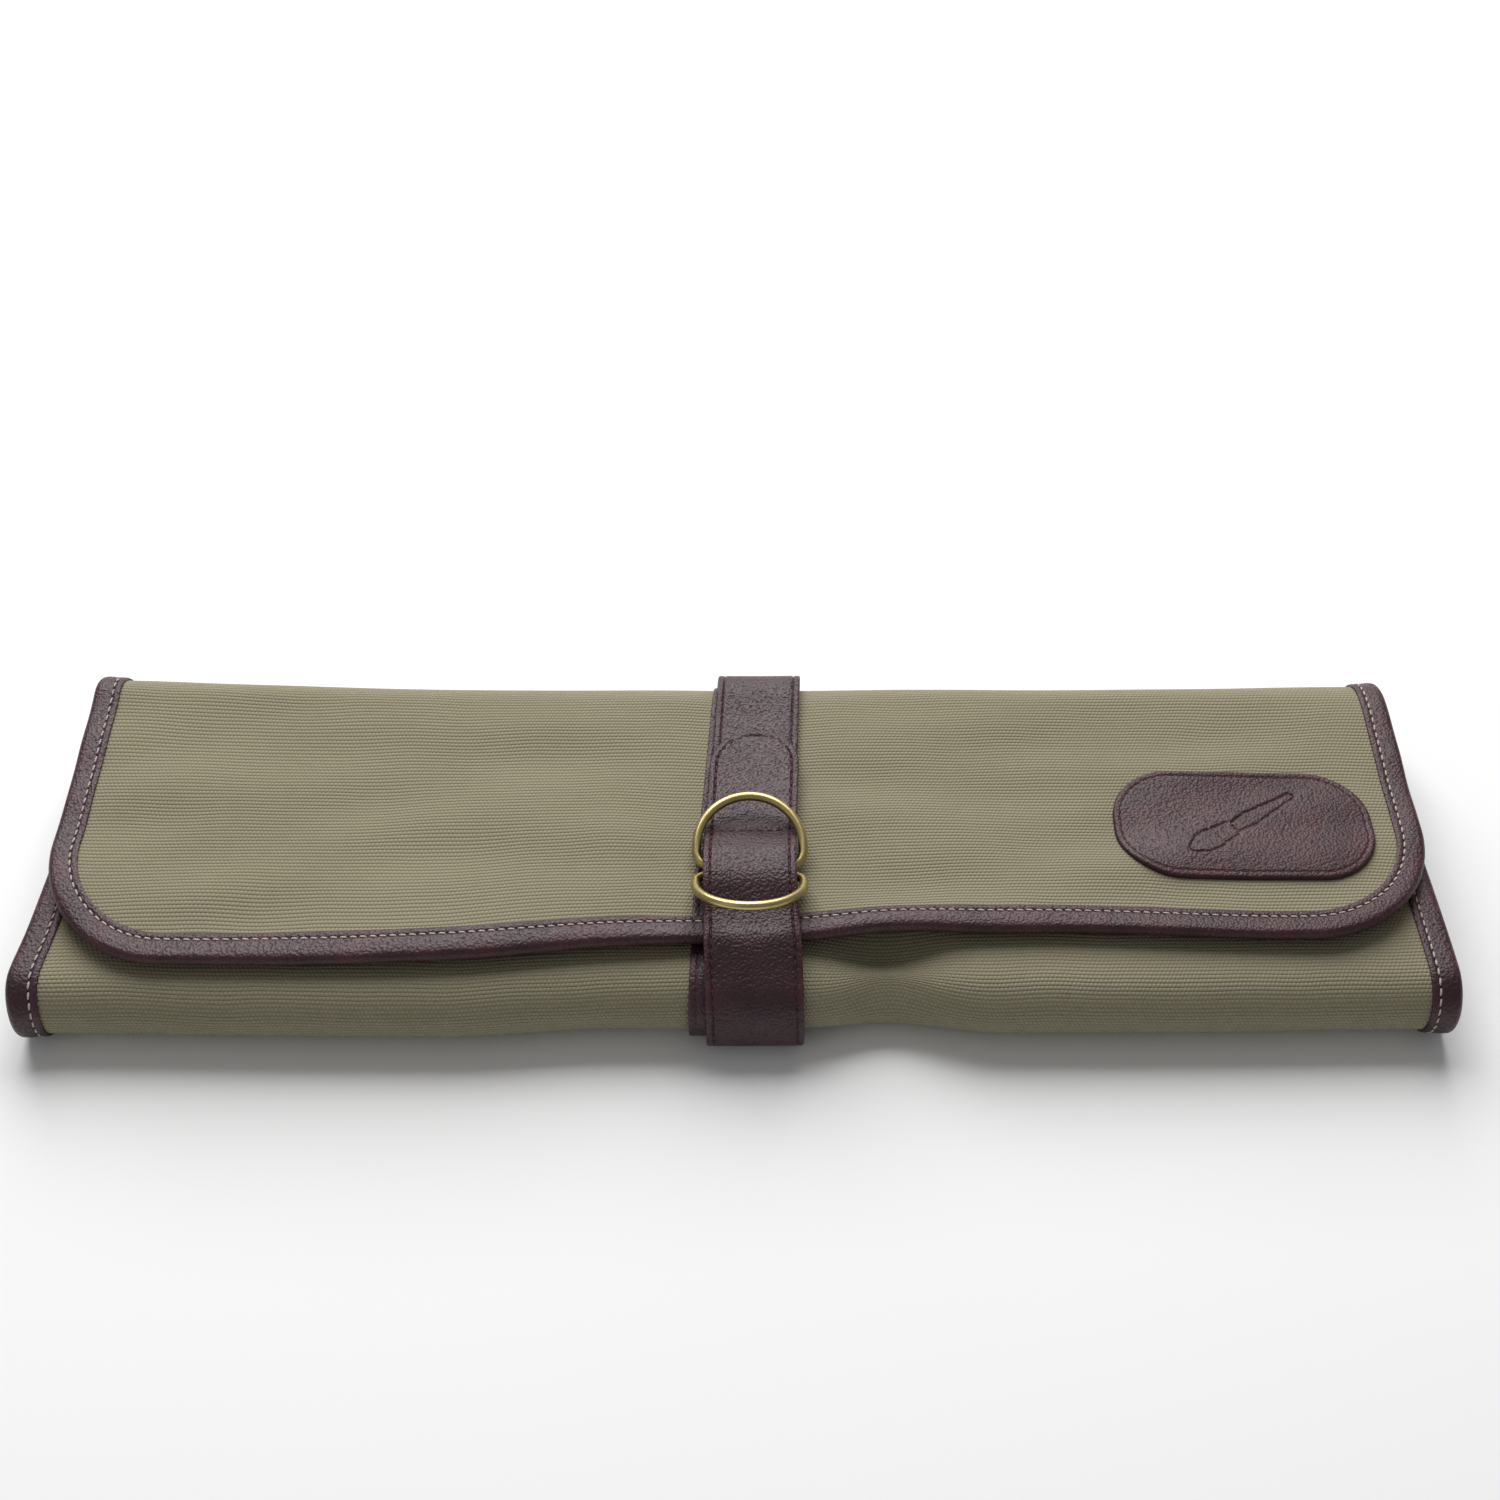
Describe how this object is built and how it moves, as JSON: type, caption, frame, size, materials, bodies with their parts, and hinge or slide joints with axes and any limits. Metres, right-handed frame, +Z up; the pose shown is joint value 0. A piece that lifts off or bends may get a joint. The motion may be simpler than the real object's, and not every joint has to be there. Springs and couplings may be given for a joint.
{
  "type": "brush_roll_case",
  "caption": "Rolled canvas brush case with leather-bound edges, round-cornered flap, leather patch, and a closing strap threaded through two brass D-rings.",
  "frame": {"origin": "middle of the rolled case on the surface it rests on", "axes": "X runs along the roll, Y points to the back fold, Z is up"},
  "size_m": [0.45, 0.1392, 0.0478],
  "materials": {
    "canvas": "matte",
    "lining": "matte",
    "leather": "satin",
    "brass": "satin"
  },
  "bodies": {
    "roll": {"roll_canvas": "canvas", "roll_lining": "lining", "roll_binding_left": "leather", "roll_binding_right": "leather", "inner_end_binding": "leather", "roll_band": "leather", "sleeve_panel": "lining", "tip_guard": "lining"},
    "back_panel": {"back_canvas": "canvas", "back_lining": "lining", "back_binding_left": "leather", "back_binding_right": "leather", "back_band": "leather", "ring_strap_back": "leather"},
    "flap": {"flap_canvas": "canvas", "flap_lining": "lining", "flap_binding": "leather", "flap_band": "leather", "ring_strap": "leather", "patch": "leather"},
    "upper_ring": {"ring_upper": "brass"},
    "lower_ring": {"ring_lower": "brass"},
    "tail_lower": {"tail_front": "leather"},
    "tail_end": {"tail_top": "leather"}
  },
  "joints": [
    {"name": "back_fold_open", "type": "hinge", "parent": "roll", "child": "back_panel", "pos_m": [0, 0.06473, 0.00292], "axis": [-1, 0, 0], "range_deg": [0, 80]},
    {"name": "flap_open", "type": "hinge", "parent": "back_panel", "child": "flap", "pos_m": [0, 0.05644, 0.03387], "axis": [-1, 0, 0], "range_deg": [0, 90]},
    {"name": "upper_ring_swing", "type": "hinge", "parent": "flap", "child": "upper_ring", "pos_m": [0.0035, -0.0205, 0.03485], "axis": [1, 0, 0], "range_deg": [0, 72]},
    {"name": "lower_ring_swing", "type": "hinge", "parent": "flap", "child": "lower_ring", "pos_m": [0.0035, -0.0242, 0.03485], "axis": [-1, 0, 0], "range_deg": [0, 62]},
    {"name": "tail_fall", "type": "hinge", "parent": "roll", "child": "tail_lower", "pos_m": [0.0035, -0.0625, 0.0015], "axis": [1, 0, 0], "range_deg": [0, 60], "deforming": ["tail_front"]},
    {"name": "tail_unbend", "type": "hinge", "parent": "tail_lower", "child": "tail_end", "pos_m": [0.0035, -0.048, 0.0333], "axis": [1, 0, 0], "range_deg": [0, 130], "deforming": ["tail_top"]}
  ],
  "couplings": [
    {"joint": "flap_open", "follows": "back_fold_open", "ratio": 1.125},
    {"joint": "tail_fall", "follows": "back_fold_open", "ratio": 0.75},
    {"joint": "tail_unbend", "follows": "back_fold_open", "ratio": 1.625}
  ]
}
